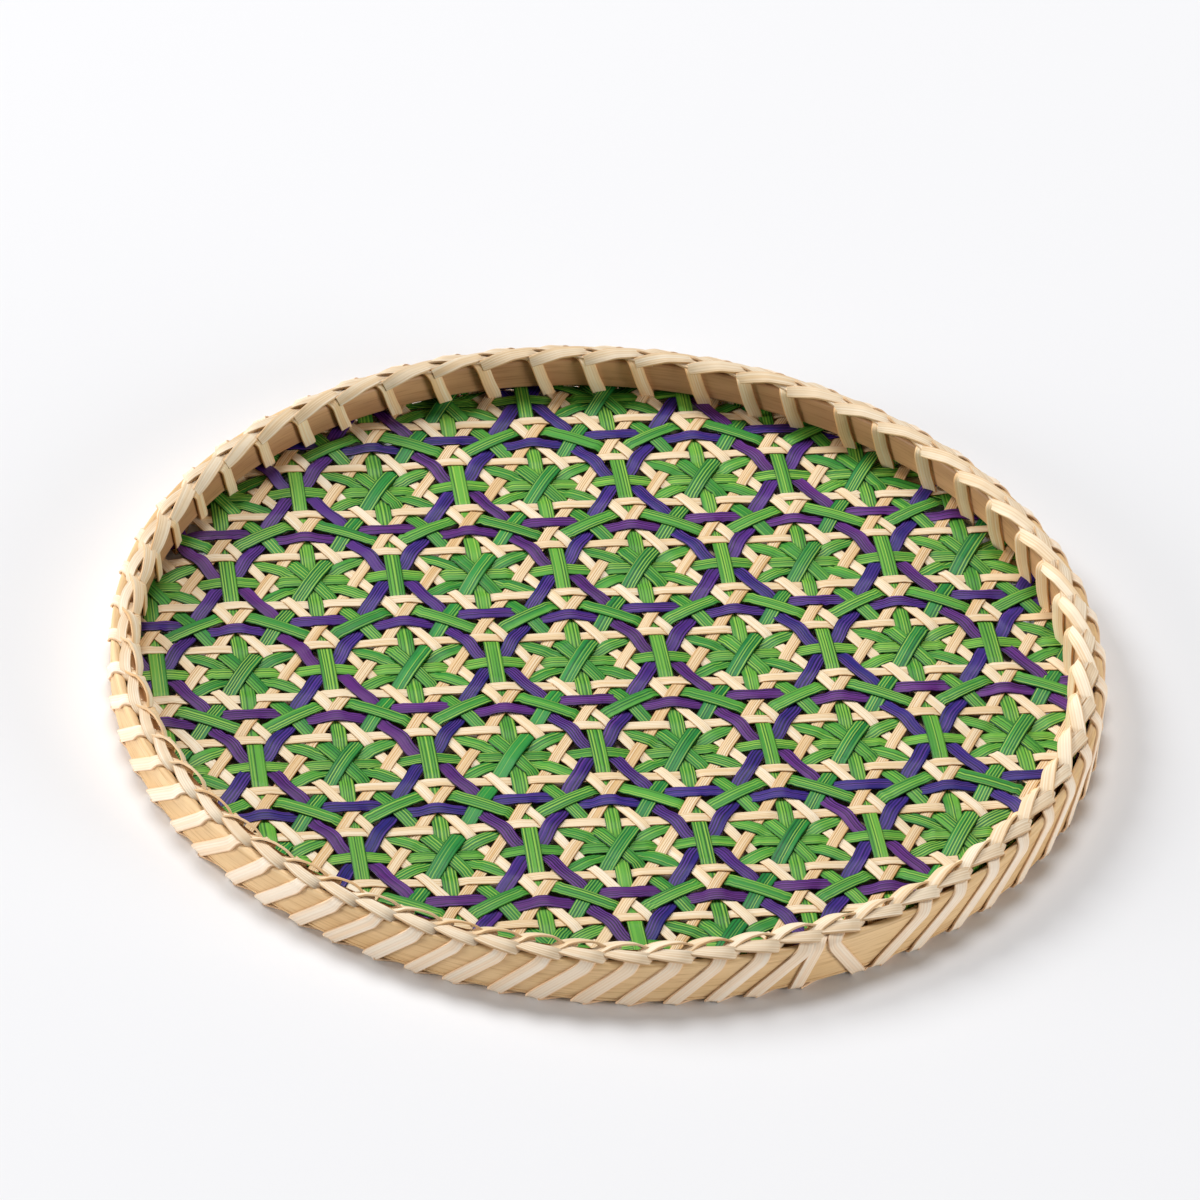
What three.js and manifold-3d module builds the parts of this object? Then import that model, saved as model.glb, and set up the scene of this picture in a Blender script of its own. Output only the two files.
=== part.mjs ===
// A round shallow tray. A flat open weave of cane strips, with a thin dark sheet under it, runs out under an
// inner hoop. The turned-up ends of the strips are clamped between that hoop and an outer one, one long flat
// strip of cane lashes the hoops together through the edge of the weave, and a plait runs along the top.
// Millimetres, +Z up. The origin is the centre of the tray, at the level it stands on.
import * as THREE from "three";
import { mergeVertices } from "three/addons/utils/BufferGeometryUtils.js";
import Module from "manifold-3d";

const wasm = await Module();
wasm.setup();

// Rim: the two hoops and the clamped edge between them
const outerHoopDiameter = 318;
const outerHoopThickness = 3;
const innerHoopThickness = 3;
const hoopHeight = 15;
const clampSpace = 2;
const turnedEdgeDrop = 1.5;
const seatGap = 0.3;
const hoopFacets = 72;

// Backing sheet under the weave, short of the inner hoop
const backingThickness = 0.5;
const backingInset = 13;

// Weave: a star pattern of strips in six directions
const starSpacing = 54.2;
const weaveTurn = THREE.MathUtils.degToRad(10.5);
const weaveCentre = new THREE.Vector2(-9.3, 3.9);
const stripThickness = 0.45;
const creamWidth = 3.8;
const creamSpread = 0.9;
const purpleWidth = 5.3;
const greenWidth = 5.4;
const layerGap = 0.1;
const shortestStrip = 30;

// Lashing: one flat strip wound round the rim, leaning as it climbs the outside and crosses the top
const lashingTurns = 60;
const lashingWidth = 4.2;
const lashingThickness = 0.8;
const lashingLeanOutside = 0.8;
const lashingLeanOnTop = 1.2;

// Plait along the top of the rim
const plaitWidth = 8;
const plaitHeight = 3;
const plaitOffset = -2.5;
const plaitArcSteps = 6;

// Radii, from the outside of the rim inwards
const outerHoopOutside = outerHoopDiameter / 2;
const outerHoopInside = outerHoopOutside - outerHoopThickness;
const innerHoopOutside = outerHoopInside - clampSpace;
const innerHoopInside = innerHoopOutside - innerHoopThickness;
const lashingOutside = outerHoopOutside + seatGap;
const lashingInside = innerHoopInside - seatGap;
const weaveRadius = innerHoopOutside;
const stitchInside = lashingInside - lashingThickness;
const backingRadius = innerHoopInside - backingInset;

// Heights, from the surface that the tray stands on upwards
const lashingUnder = lashingThickness;
const rimBottom = lashingUnder + seatGap;
const rimTop = rimBottom + hoopHeight;
const lashingOver = rimTop + seatGap;
const plaitBottom = lashingOver + lashingThickness + seatGap;
const layerStep = stripThickness + layerGap;
const firstLayer = rimBottom + backingThickness + layerGap;
const layerHeight = (layer) => firstLayer + layer * layerStep;

// Directions of the strips inside the weave, and the spacing of each set of strips. The strips of a set are
// evenly spaced, or, by its spread, stand in pairs that lie that much further from the stars' centres.
const third = Math.PI / 3;
const alongStars = [0, third, 2 * third];
const acrossStars = [third / 2, 1.5 * third, 2.5 * third];
const starRow = starSpacing * Math.cos(third / 2);
const creamRows = { first: starRow / 4, step: starRow / 2, spread: creamSpread };
const purpleRows = { first: starRow / 2, step: starRow, spread: 0 };
const greenStarRows = { first: 0, step: starRow, spread: 0 };
const greenCrossRows = { first: 0, step: starSpacing / 2, spread: 0 };
const creamSet = { directions: alongStars, ...creamRows, width: creamWidth };
const purpleSet = { directions: alongStars, ...purpleRows, width: purpleWidth };
const greenStarSet = { directions: alongStars, ...greenStarRows, width: greenWidth };
const greenCrossSet = { directions: acrossStars, ...greenCrossRows, width: greenWidth };

// Layers of the weave, from the backing sheet up
const greenStarLayer = 0;
const greenCrossLayer = 1;
const firstCreamLayer = 2;
const purpleLayer = firstCreamLayer + creamSet.directions.length;
const weaveTop = layerHeight(purpleLayer) + stripThickness;

const tray = new THREE.Group();

function caneMaterial(colour, roughness) {
  return new THREE.MeshStandardMaterial({ color: colour, roughness, metalness: 0 });
}

const bambooTan = caneMaterial(0xdab983, 0.55);
const bambooShade = caneMaterial(0xc49f6b, 0.6);
const caneCream = caneMaterial(0xf4e0bd, 0.5);
const canePale = caneMaterial(0xf8e6c8, 0.5);
const dyedPurple = caneMaterial(0x4a3390, 0.5);
const dyedGreen = caneMaterial(0x4a9a3c, 0.5);
const darkBacking = caneMaterial(0x2a211f, 0.9);

function addPiece(name, geometry, material) {
  const mesh = new THREE.Mesh(geometry, material);
  mesh.name = name;
  tray.add(mesh);
  return mesh;
}

// A ring turned round the tray's axis from a closed profile of [radius, height] points.
function turnedRing(profile) {
  const points = [...profile, profile[0]].map(([radius, height]) => new THREE.Vector2(radius, height));
  return new THREE.LatheGeometry(points, hoopFacets).rotateX(Math.PI / 2);
}

function bandRing(inside, outside, bottom, top) {
  return turnedRing([
    [inside, bottom],
    [outside, bottom],
    [outside, top],
    [inside, top],
  ]);
}

function makeHoops() {
  addPiece("outer_hoop", bandRing(outerHoopInside, outerHoopOutside, rimBottom, rimTop), bambooTan);
  const innerBottom = weaveTop + seatGap;
  addPiece("inner_hoop", bandRing(innerHoopInside, innerHoopOutside, innerBottom, rimTop), bambooShade);
}

// The strips' ends, turned up between the hoops and trimmed just below their top, as one band.
function makeTurnedEdge() {
  const inside = innerHoopOutside + seatGap;
  const outside = outerHoopInside - seatGap;
  addPiece("turned_up_edge", bandRing(inside, outside, firstLayer, rimTop - turnedEdgeDrop), caneCream);
}

function makeBackingSheet() {
  const sheet = new THREE.CylinderGeometry(backingRadius, backingRadius, backingThickness, hoopFacets);
  sheet.rotateX(Math.PI / 2).translate(0, 0, rimBottom + backingThickness / 2);
  addPiece("backing_sheet", sheet, darkBacking);
}

// Angle of a turn of the lashing on the inside of the rim, where it goes down through the weave.
function stitchAngle(turn) {
  const lean = lashingLeanOutside + lashingLeanOnTop;
  return ((turn + lean) * 2 * Math.PI) / lashingTurns;
}

// Whether a turn of the lashing goes down through the end of a strip. The strip is given by its direction,
// its distance from the tray's centre, its width, and the end: 1 for its far end, -1 for its near one.
function meetsStitch(turn, distance, width, end) {
  const depth = lashingThickness / 2;
  for (let stitch = 0; stitch < lashingTurns; stitch++) {
    const angle = stitchAngle(stitch) - turn;
    const reach = Math.abs(Math.cos(angle)) * (lashingWidth / 2) + Math.abs(Math.sin(angle)) * depth;
    const aside = Math.abs((stitchInside + depth) * Math.sin(angle) - distance);
    if (end * Math.cos(angle) > 0 && aside < reach + width / 2 + seatGap) return true;
  }
  return false;
}

// The boxes of one direction of a set of strips. A strip runs out under the inner hoop, but an end that meets
// a turn of the lashing stops short of it.
function stripBoxes(set, direction) {
  const turn = weaveTurn + direction;
  const trayCentre = weaveCentre.clone().negate().rotateAround(new THREE.Vector2(), -turn);
  const lowest = Math.ceil((trayCentre.y - weaveRadius - set.first) / set.step);
  const highest = Math.floor((trayCentre.y + weaveRadius - set.first) / set.step);
  const boxes = [];
  for (let row = lowest; row <= highest; row++) {
    const side = row % 2 === 0 ? 1 : -1;
    const offset = set.first + row * set.step + side * set.spread;
    const distance = offset - trayCentre.y;
    const edge = Math.abs(distance) + set.width / 2;
    const reachOf = (end) => {
      const radius = meetsStitch(turn, distance, set.width, end) ? stitchInside - seatGap : weaveRadius;
      return Math.sqrt(Math.max(radius ** 2 - edge ** 2, 0));
    };
    const near = reachOf(-1);
    const far = reachOf(1);
    if (near + far < shortestStrip) continue;
    const box = new THREE.BoxGeometry(near + far, set.width, stripThickness);
    box.translate(trayCentre.x + (far - near) / 2, offset, stripThickness / 2).rotateZ(turn);
    boxes.push(box.translate(weaveCentre.x, weaveCentre.y, 0));
  }
  return boxes;
}

function solidFrom(geometry) {
  const bare = geometry.clone().deleteAttribute("normal").deleteAttribute("uv");
  const merged = mergeVertices(bare);
  const vertProperties = new Float32Array(merged.attributes.position.array);
  const triVerts = new Uint32Array(merged.index.array);
  return new wasm.Manifold(new wasm.Mesh({ numProp: 3, vertProperties, triVerts }));
}

function geometryFrom(solid) {
  const mesh = solid.getMesh();
  const geometry = new THREE.BufferGeometry();
  geometry.setAttribute("position", new THREE.BufferAttribute(mesh.vertProperties, 3));
  geometry.setIndex(new THREE.BufferAttribute(mesh.triVerts, 1));
  geometry.computeVertexNormals();
  return geometry;
}

// A set of strips joined where they cross, with the flat faces that meet there made one. A short strip by the
// rim that crosses no other one is left out.
function joinedStrips(set) {
  const solids = set.directions.flatMap((direction) => stripBoxes(set, direction)).map(solidFrom);
  const joined = solids.reduce((sum, solid) => sum.add(solid)).asOriginal().simplify();
  const bodies = joined.decompose();
  return geometryFrom(bodies.reduce((largest, body) => (body.volume() > largest.volume() ? body : largest)));
}

function makeWeave() {
  const greenStars = addPiece("green_star_strips", joinedStrips(greenStarSet), dyedGreen);
  greenStars.position.z = layerHeight(greenStarLayer);
  const greenCrosses = addPiece("green_cross_strips", joinedStrips(greenCrossSet), dyedGreen);
  greenCrosses.position.z = layerHeight(greenCrossLayer);
  creamSet.directions.forEach((direction, index) => {
    const letter = "abc"[index];
    stripBoxes(creamSet, direction).forEach((box, row) => {
      const strip = addPiece(`cream_strip_${letter}${row + 1}`, box, caneCream);
      strip.position.z = layerHeight(firstCreamLayer + index);
    });
  });
  const purple = addPiece("purple_ring_strips", joinedStrips(purpleSet), dyedPurple);
  purple.position.z = layerHeight(purpleLayer);
}

// The path of the lashing: for each turn, the places where it bends round the rim. A place holds its angle,
// its radius and height on the side that faces the rim, the way to its outer side, and its width.
function lashingPlaces() {
  const pitch = (2 * Math.PI) / lashingTurns;
  const along = pitch * lashingOutside;
  const climb = Math.hypot(along * lashingLeanOutside, lashingOver - lashingUnder);
  const crossing = Math.hypot(along * lashingLeanOnTop, lashingOutside - lashingInside);
  const outsideWidth = (lashingWidth * climb) / (lashingOver - lashingUnder);
  const topWidth = (lashingWidth * crossing) / (lashingOutside - lashingInside);
  const middle = (lashingOutside + lashingInside) / 2;
  const places = [];
  for (let turn = 0; turn < lashingTurns; turn++) {
    const start = turn * pitch;
    const top = start + lashingLeanOutside * pitch;
    const inside = stitchAngle(turn);
    places.push(
      { angle: start, radius: lashingOutside, height: lashingUnder, out: 1, up: -1, width: outsideWidth },
      { angle: top, radius: lashingOutside, height: lashingOver, out: 1, up: 1, width: outsideWidth },
      { angle: (top + inside) / 2, radius: middle, height: lashingOver, out: 0, up: 1, width: topWidth },
      { angle: inside, radius: lashingInside, height: lashingOver, out: -1, up: 1, width: lashingWidth },
      { angle: inside, radius: lashingInside, height: lashingUnder, out: -1, up: -1, width: lashingWidth },
    );
  }
  return places;
}

// The four corners of the flat strip at one place on its path.
function stripCorners(place) {
  const { angle, radius, height, out, up, width } = place;
  const outward = new THREE.Vector3(Math.cos(angle), Math.sin(angle), 0);
  const sideways = new THREE.Vector3(-Math.sin(angle), Math.cos(angle), 0);
  const corner = (side, depth) =>
    new THREE.Vector3(0, 0, height + up * depth)
      .addScaledVector(outward, radius + out * depth)
      .addScaledVector(sideways, (side * width) / 2);
  return [
    corner(-1, 0),
    corner(1, 0),
    corner(1, lashingThickness),
    corner(-1, lashingThickness),
  ];
}

// A closed strip through rings of four corners, with a flat cap at each end.
function ribbonGeometry(rings) {
  const positions = rings.flat().flatMap((corner) => corner.toArray());
  const faces = [0, 1, 2, 0, 2, 3];
  for (let ring = 0; ring < rings.length - 1; ring++) {
    for (let side = 0; side < 4; side++) {
      const a = 4 * ring + side;
      const b = 4 * ring + ((side + 1) % 4);
      faces.push(a, a + 4, b, b, a + 4, b + 4);
    }
  }
  const last = 4 * (rings.length - 1);
  faces.push(last, last + 2, last + 1, last, last + 3, last + 2);
  const geometry = new THREE.BufferGeometry();
  geometry.setAttribute("position", new THREE.Float32BufferAttribute(positions, 3));
  geometry.setIndex(faces);
  geometry.computeVertexNormals();
  return geometry;
}

// The least gap between one turn of the lashing and the next ones, measured on points along its edges.
function leastGapBetweenTurns(rings) {
  const placesPerTurn = rings.length / lashingTurns;
  const steps = 8;
  const edgePoints = (turn) => {
    const points = [];
    for (let ring = turn * placesPerTurn; ring < (turn + 1) * placesPerTurn - 1; ring++) {
      for (let step = 0; step <= steps; step++) {
        for (let edge = 0; edge < 4; edge++) {
          points.push(rings[ring][edge].clone().lerp(rings[ring + 1][edge], step / steps));
        }
      }
    }
    return points;
  };
  const own = edgePoints(0);
  const others = [1, 2].flatMap(edgePoints);
  return Math.min(...own.map((point) => Math.min(...others.map((other) => point.distanceTo(other)))));
}

function makeLashing() {
  const rings = lashingPlaces().map(stripCorners);
  addPiece("rim_lashing", ribbonGeometry(rings), canePale);
  console.log(`least gap between turns of the lashing: ${leastGapBetweenTurns(rings).toFixed(2)} mm`);
}

// The plait as one ring with a flat underside and a rounded top.
function makePlait() {
  const middle = (lashingOutside + lashingInside) / 2 + plaitOffset;
  const profile = [];
  for (let step = 0; step <= plaitArcSteps; step++) {
    const angle = (Math.PI * step) / plaitArcSteps;
    profile.push([middle + (plaitWidth / 2) * Math.cos(angle), plaitBottom + plaitHeight * Math.sin(angle)]);
  }
  addPiece("rim_plait", turnedRing(profile), canePale);
}

makeBackingSheet();
makeWeave();
makeHoops();
makeTurnedEdge();
makeLashing();
makePlait();

export default tray;
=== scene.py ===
import math
import bpy
import numpy as np
from mathutils import Matrix, Vector


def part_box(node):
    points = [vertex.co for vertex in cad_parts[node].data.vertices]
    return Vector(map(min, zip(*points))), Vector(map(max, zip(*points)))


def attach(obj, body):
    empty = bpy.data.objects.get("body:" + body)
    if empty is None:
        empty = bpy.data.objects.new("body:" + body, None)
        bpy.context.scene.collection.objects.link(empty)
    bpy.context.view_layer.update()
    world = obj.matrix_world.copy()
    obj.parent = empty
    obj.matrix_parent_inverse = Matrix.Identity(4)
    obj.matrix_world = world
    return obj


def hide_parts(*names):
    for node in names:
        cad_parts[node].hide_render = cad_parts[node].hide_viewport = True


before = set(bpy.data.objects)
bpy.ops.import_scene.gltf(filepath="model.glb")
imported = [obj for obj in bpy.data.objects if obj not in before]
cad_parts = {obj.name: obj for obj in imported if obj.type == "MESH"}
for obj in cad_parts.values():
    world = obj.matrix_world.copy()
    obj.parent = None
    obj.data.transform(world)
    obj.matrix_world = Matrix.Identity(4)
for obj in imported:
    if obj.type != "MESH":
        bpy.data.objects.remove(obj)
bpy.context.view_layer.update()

# Lengths are in millimetres until a mesh is made. These come from the frame.
MM = 0.001
HOOP_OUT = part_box("outer_hoop")[1].x / MM
HOOP_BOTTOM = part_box("outer_hoop")[0].z / MM
HOOP_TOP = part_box("outer_hoop")[1].z / MM
INNER_HOOP_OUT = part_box("inner_hoop")[1].x / MM
INNER_HOOP_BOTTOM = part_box("inner_hoop")[0].z / MM
WEAVE_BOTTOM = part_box("green_star_strips")[0].z / MM
WEAVE_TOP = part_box("purple_ring_strips")[1].z / MM
BACKING_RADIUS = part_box("backing_sheet")[1].x / MM
BACKING_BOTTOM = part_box("backing_sheet")[0].z / MM
BACKING_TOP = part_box("backing_sheet")[1].z / MM
HOOP_THICKNESS = 3.0
HOOP_IN = HOOP_OUT - HOOP_THICKNESS
INNER_HOOP_IN = INNER_HOOP_OUT - HOOP_THICKNESS
BETWEEN_HOOPS = (HOOP_IN + INNER_HOOP_OUT) / 2
HOOP_UNEVENNESS = 0.25
HOOP_STEPS = 360
BACKING_STEPS = 180
SHARP_EDGE = math.radians(55)

# The outer hoop's groove: its depth, and its lower edge, middle and upper edge above the hoop's bottom
GROOVE_DEPTH = 0.3
GROOVE_HEIGHTS = (1.4, 1.6, 1.8)

# The weave: a lattice of stars, with the widths of its strips
STAR_SPACING = 54.2
WEAVE_TURN = math.radians(10.5)
WEAVE_CENTRE = np.array([-9.3, 3.9])
STAR_ROW = math.sqrt(3) / 2
CREAM_SPREAD = 0.9 / STAR_SPACING
CREAM_OFFSET = STAR_ROW / 4 + CREAM_SPREAD
WIDTHS = {"cream": 3.8, "purple": 5.0, "star": 5.1, "cross": 5.1}
STRIP_THICKNESS = 0.32
STRIP_GAP = 0.45
SHORTEST_STRIP = 30
TURNED_END_THICKNESS = 0.4

# More rows and stars each way from the weave's centre than fit inside the hoop
MOST_ROWS = 12
MOST_STARS = 5

# How the weave settles: the step between the stations along a strip, the lines across it, and the part of the
# way that a strip goes at a time when it pulls straight and when those that cross it push it
STATION = 1.5
LINES = np.linspace(-1, 1, 5)
SETTLING_ROUNDS = 300
PUSHES_PER_ROUND = 3
PULL = 0.3
PUSH = 0.6

# A ring strip runs nearer each star that it passes, and bows out again at its nearest place, both in star
# spacings. Those of one direction do so by a part only.
RING_PULL = 0.036
RING_BOW = 0.0155
STRAIGHTER = 0.5

# The lashing and the plait: flat strips in so many turns round the rim, closest together at one angle (in
# degrees) at the front. A turn reaches the hoops' top a part of a turn after its number, and the middle of
# its thickness stands off the hoops. Each taper takes up a part of a strip's length.
TURNS = 60
FIRST_TURN = 0.62
TURN_TOP = 0.8
SPLICED_TURN = 52
CLOSER = 0.176
CLOSEST_AT = 266
LASHING_WIDTH = 4.4
LASHING_THICKNESS = 0.7
STAND_OFF = 0.6
TAPER_LENGTH = 0.35

# The colours of the strips: how many grooves they have across them, and how many streaks per millimetre along
STRIP_GROOVES = 5
STREAKS_ALONG = 0.006

# Steps along the streaks, so that no two strips look the same: from one strip of the weave to the next, from
# one strip of the rim to the next, and per radian for the turned-up ends
WEAVE_SHIFT = 400
LASHING_SHIFT = 90
TURNED_END_SHIFT = 37

# The lashing's outer runs are numbered from 0, and the other strips of the rim from here
FIRST_STRANDS_FROM = 100
SECOND_STRANDS_FROM = 200
INNER_RUNS_FROM = 300

# The camera, as fitted to the photograph
CAMERA_ELEVATION = math.radians(38.56)
CAMERA_ROLL = math.radians(-4.22)
CAMERA_DISTANCE = 2252
CAMERA_LENS = 210
CAMERA_AIM_RIGHT = -1.96
CAMERA_AIM_UP = 25.1

# Half the floor's width, in metres
FLOOR_HALF = 6

chance = np.random.default_rng(11)


def srgb(red, green, blue):
    """A colour given as on a screen, as the linear values that a shader takes."""
    parts = [value / 255 for value in (red, green, blue)]
    linear = [p / 12.92 if p <= 0.04045 else ((p + 0.055) / 1.055) ** 2.4 for p in parts]
    return (*linear, 1)


# Materials. Each piece has a map named Strip: millimetres along it, and 0 to 1 across it.


def start_material(name, roughness, plain):
    material = bpy.data.materials.new(name)
    material.use_nodes = True
    material.diffuse_color = plain
    shader = material.node_tree.nodes["Principled BSDF"]
    shader.inputs["Roughness"].default_value = roughness
    shader.inputs["Base Color"].default_value = plain
    return material, shader


def add_node(material, kind, **settings):
    node = material.node_tree.nodes.new(kind)
    for key, value in settings.items():
        setattr(node, key, value)
    return node


def join(material, source, target):
    material.node_tree.links.new(source, target)


def streaks(material, along, across, detail=2.0, shift=0.0):
    """Noise drawn out along the strip, with so many features per millimetre along it and so many across."""
    place = add_node(material, "ShaderNodeUVMap", uv_map="Strip")
    sized = add_node(material, "ShaderNodeMapping")
    sized.inputs["Scale"].default_value = (along, across, 1)
    sized.inputs["Location"].default_value = (shift, shift, 0)
    noise = add_node(material, "ShaderNodeTexNoise", noise_dimensions="2D")
    noise.inputs["Scale"].default_value = 1
    noise.inputs["Detail"].default_value = detail
    noise.inputs["Roughness"].default_value = 0.6
    join(material, place.outputs["UV"], sized.inputs["Vector"])
    join(material, sized.outputs["Vector"], noise.inputs["Vector"])
    return noise.outputs["Fac"]


def grooves(material, lines):
    """So many lines along the strip, unevenly spaced across it, from 0 in a line to 1 between lines. The
    texture makes 10 / pi lines per unit."""
    place = add_node(material, "ShaderNodeUVMap", uv_map="Strip")
    sized = add_node(material, "ShaderNodeMapping")
    sized.inputs["Scale"].default_value = (0.004, 1, 1)
    wave = add_node(material, "ShaderNodeTexWave", bands_direction="Y")
    wave.inputs["Scale"].default_value = lines * math.pi / 10
    wave.inputs["Distortion"].default_value = 3
    wave.inputs["Detail"].default_value = 0
    wave.inputs["Detail Scale"].default_value = 1.2
    join(material, place.outputs["UV"], sized.inputs["Vector"])
    join(material, sized.outputs["Vector"], wave.inputs["Vector"])
    return wave.outputs["Fac"]


def ramp(material, factor, *stops):
    """A run of colours: stops are (place, colour)."""
    node = add_node(material, "ShaderNodeValToRGB")
    elements = node.color_ramp.elements
    while len(elements) < len(stops):
        elements.new(0.5)
    for element, (place, colour) in zip(elements, stops):
        element.position = place
        element.color = colour
    join(material, factor, node.inputs["Fac"])
    return node.outputs["Color"]


def feed(material, value, target):
    """Gives a socket a number or a colour, or joins another socket to it."""
    if isinstance(value, bpy.types.NodeSocket):
        join(material, value, target)
    else:
        target.default_value = value


def blend(material, kind, amount, below, above):
    """Two colours mixed. The amount and the colours may be values or sockets."""
    node = add_node(material, "ShaderNodeMix", data_type="RGBA", blend_type=kind)
    feed(material, amount, node.inputs["Factor"])
    feed(material, below, node.inputs["A"])
    feed(material, above, node.inputs["B"])
    return node.outputs["Result"]


def fibres(material, source, begin, end, amount):
    """How much of a fibre's colour shows: none where the source is at begin, and amount where it's at end."""
    node = add_node(material, "ShaderNodeMapRange")
    node.inputs["From Min"].default_value = begin
    node.inputs["From Max"].default_value = end
    feed(material, amount, node.inputs["To Max"])
    join(material, source, node.inputs["Value"])
    return node.outputs["Result"]


def painted_edge_shade(material, dark):
    """Painted shade: white over the strip's face, and dark along its two edges."""
    place = add_node(material, "ShaderNodeUVMap", uv_map="Strip")
    parts = add_node(material, "ShaderNodeSeparateXYZ")
    join(material, place.outputs["UV"], parts.inputs["Vector"])
    return ramp(
        material,
        parts.outputs["Y"],
        (0.0, dark),
        (0.12, (1, 1, 1, 1)),
        (0.88, (1, 1, 1, 1)),
        (1.0, dark),
    )


def bump(material, shader, height, depth):
    node = add_node(material, "ShaderNodeBump")
    node.inputs["Strength"].default_value = 0.6
    node.inputs["Distance"].default_value = depth * MM
    join(material, height, node.inputs["Height"])
    join(material, node.outputs["Normal"], shader.inputs["Normal"])


def strip_material(name, tones, dark, light, dark_amount, light_amount, edge, roughness):
    """A split strip: slow changes between two tones, with grooves that are darker in places, ridges that are
    lighter in places, and painted shade along its edges."""
    material, shader = start_material(name, roughness, tones[0])
    shader.inputs["Specular IOR Level"].default_value = 0.25
    slow = streaks(material, STREAKS_ALONG, 1.3)
    ground = ramp(material, slow, (0.4, tones[0]), (0.6, tones[1]))
    waves = grooves(material, STRIP_GROOVES)
    some_grooves = streaks(material, STREAKS_ALONG, 3.0, detail=1.0, shift=5.0)
    groove_amount = fibres(material, some_grooves, 0.35, 0.55, dark_amount)
    lined = blend(material, "MIX", fibres(material, waves, 0.45, 0.1, groove_amount), ground, dark)
    some_ridges = streaks(material, STREAKS_ALONG, 3.0, detail=1.0, shift=8.0)
    ridge_amount = fibres(material, some_ridges, 0.4, 0.6, light_amount)
    lit = blend(material, "MIX", fibres(material, waves, 0.65, 0.95, ridge_amount), lined, light)
    # Painted shade: the strip's edges are darkened as if in shadow.
    colour = blend(material, "MULTIPLY", 0.7, lit, painted_edge_shade(material, edge))
    join(material, colour, shader.inputs["Base Color"])
    bump(material, shader, waves, 0.05)
    return material


def cane_material(name, pale, deep, line, amount, edge=(205, 170, 120)):
    """Undyed cane with fine darker lines and painted shade along its edges, its colours given as on a screen.
    """
    return strip_material(
        name,
        (srgb(*pale), srgb(*deep)),
        dark=srgb(*line),
        light=srgb(255, 245, 226),
        dark_amount=amount,
        light_amount=0.5,
        edge=srgb(*edge),
        roughness=0.5,
    )


def peel_material(name, pale, deep):
    """The rim's cane peel: faint lines, and painted shade along its edges a little darker than its deep tone.
    """
    line = [0.88 * value for value in deep]
    edge = [0.95 * value for value in deep]
    return cane_material(name, pale, deep, line, 0.3, edge)


def green_material(name, tones):
    """Green cane with dark lines, and yellow-green ones where the dye took less."""
    return strip_material(
        name,
        tones,
        dark=srgb(6, 62, 28),
        light=srgb(176, 210, 84),
        dark_amount=0.75,
        light_amount=0.8,
        # the colour of the painted shade along the edges
        edge=srgb(90, 140, 90),
        roughness=0.45,
    )


def purple_material(name, tones):
    """Purple cane, ridged lengthways."""
    return strip_material(
        name,
        tones,
        dark=srgb(18, 6, 44),
        light=srgb(122, 66, 168),
        dark_amount=1.0,
        light_amount=0.6,
        # the colour of the painted shade along the edges
        edge=srgb(110, 100, 150),
        roughness=0.45,
    )


def hoop_material(name, pale, deep):
    """Split bamboo: fine fibres along the hoop, and slow changes of tone."""
    material, shader = start_material(name, 0.5, pale)
    ground = ramp(material, streaks(material, 0.01, 1.5), (0.35, deep), (0.65, pale))
    fine = streaks(material, 0.05, 40.0, 3.0, 9.0)
    lines = ramp(material, fine, (0.3, srgb(200, 175, 140)), (0.5, (1, 1, 1, 1)))
    join(material, blend(material, "MULTIPLY", 0.4, ground, lines), shader.inputs["Base Color"])
    bump(material, shader, fine, 0.05)
    return material


def backing_material():
    brown = srgb(188, 168, 148)
    material, shader = start_material("backing_brown", 0.85, brown)
    colour = ramp(material, streaks(material, 0.2, 9.0), (0.3, srgb(172, 153, 135)), (0.7, brown))
    join(material, colour, shader.inputs["Base Color"])
    return material


# Meshes. A grid is rows of section points with the map's values, joined into quads.


def make_grid(points, along, across, closed=False):
    """points is rows x ring x 3. along has a value per row and across one per ring point, each one more where
    the grid closes on itself."""
    rows, ring = points.shape[:2]
    steps = rows if closed else rows - 1
    row = np.repeat(np.arange(steps), ring)
    place = np.tile(np.arange(ring), steps)
    after = (row + 1) % rows
    beside = (place + 1) % ring
    here, there = row * ring, after * ring
    quads = np.stack([here + place, here + beside, there + beside, there + place], 1)
    lengths = np.stack([along[row], along[row], along[row + 1], along[row + 1]], 1)
    sides = np.stack([across[place], across[place + 1], across[place + 1], across[place]], 1)
    return {
        "points": points.reshape(-1, 3),
        "quads": quads,
        "map": np.stack([lengths, sides], 2),
        "caps": [] if closed else [np.arange(ring)[::-1], (rows - 1) * ring + np.arange(ring)],
        "cap_map": [] if closed else [(along[0], 0.5), (along[-1], 0.5)],
    }


def faces_out(grid):
    """Turns the grid's faces round if they face inwards."""
    corners = grid["points"][grid["quads"]]
    normals = np.cross(corners[:, 2] - corners[:, 0], corners[:, 3] - corners[:, 1])
    if np.sum((corners.mean(1) - grid["points"].mean(0)) * normals) < 0:
        grid["quads"] = grid["quads"][:, ::-1]
        grid["map"] = grid["map"][:, ::-1]
        grid["caps"] = [cap[::-1] for cap in grid["caps"]]
    return grid


def make_piece(name, grids, material, slot, *nodes):
    """One piece of the object from one or more grids. It stands for the CAD nodes named."""
    points, faces, places = [], [], []
    for grid in map(faces_out, grids):
        first = sum(len(p) for p in points)
        points.append(grid["points"])
        faces += (grid["quads"] + first).tolist()
        places += grid["map"].reshape(-1, 2).tolist()
        for cap, place in zip(grid["caps"], grid["cap_map"]):
            faces.append((cap + first).tolist())
            places += [place] * len(cap)
    mesh = bpy.data.meshes.new(name)
    mesh.from_pydata((np.concatenate(points) * MM).tolist(), [], faces)
    layer = mesh.uv_layers.new(name="Strip")
    layer.data.foreach_set("uv", np.array(places).ravel())
    mesh.shade_smooth()
    mesh.set_sharp_from_angle(angle=SHARP_EDGE)
    mesh.materials.append(material)
    piece = bpy.data.objects.new(name, mesh)
    bpy.context.scene.collection.objects.link(piece)
    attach(piece, "root")
    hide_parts(*nodes)


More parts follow.
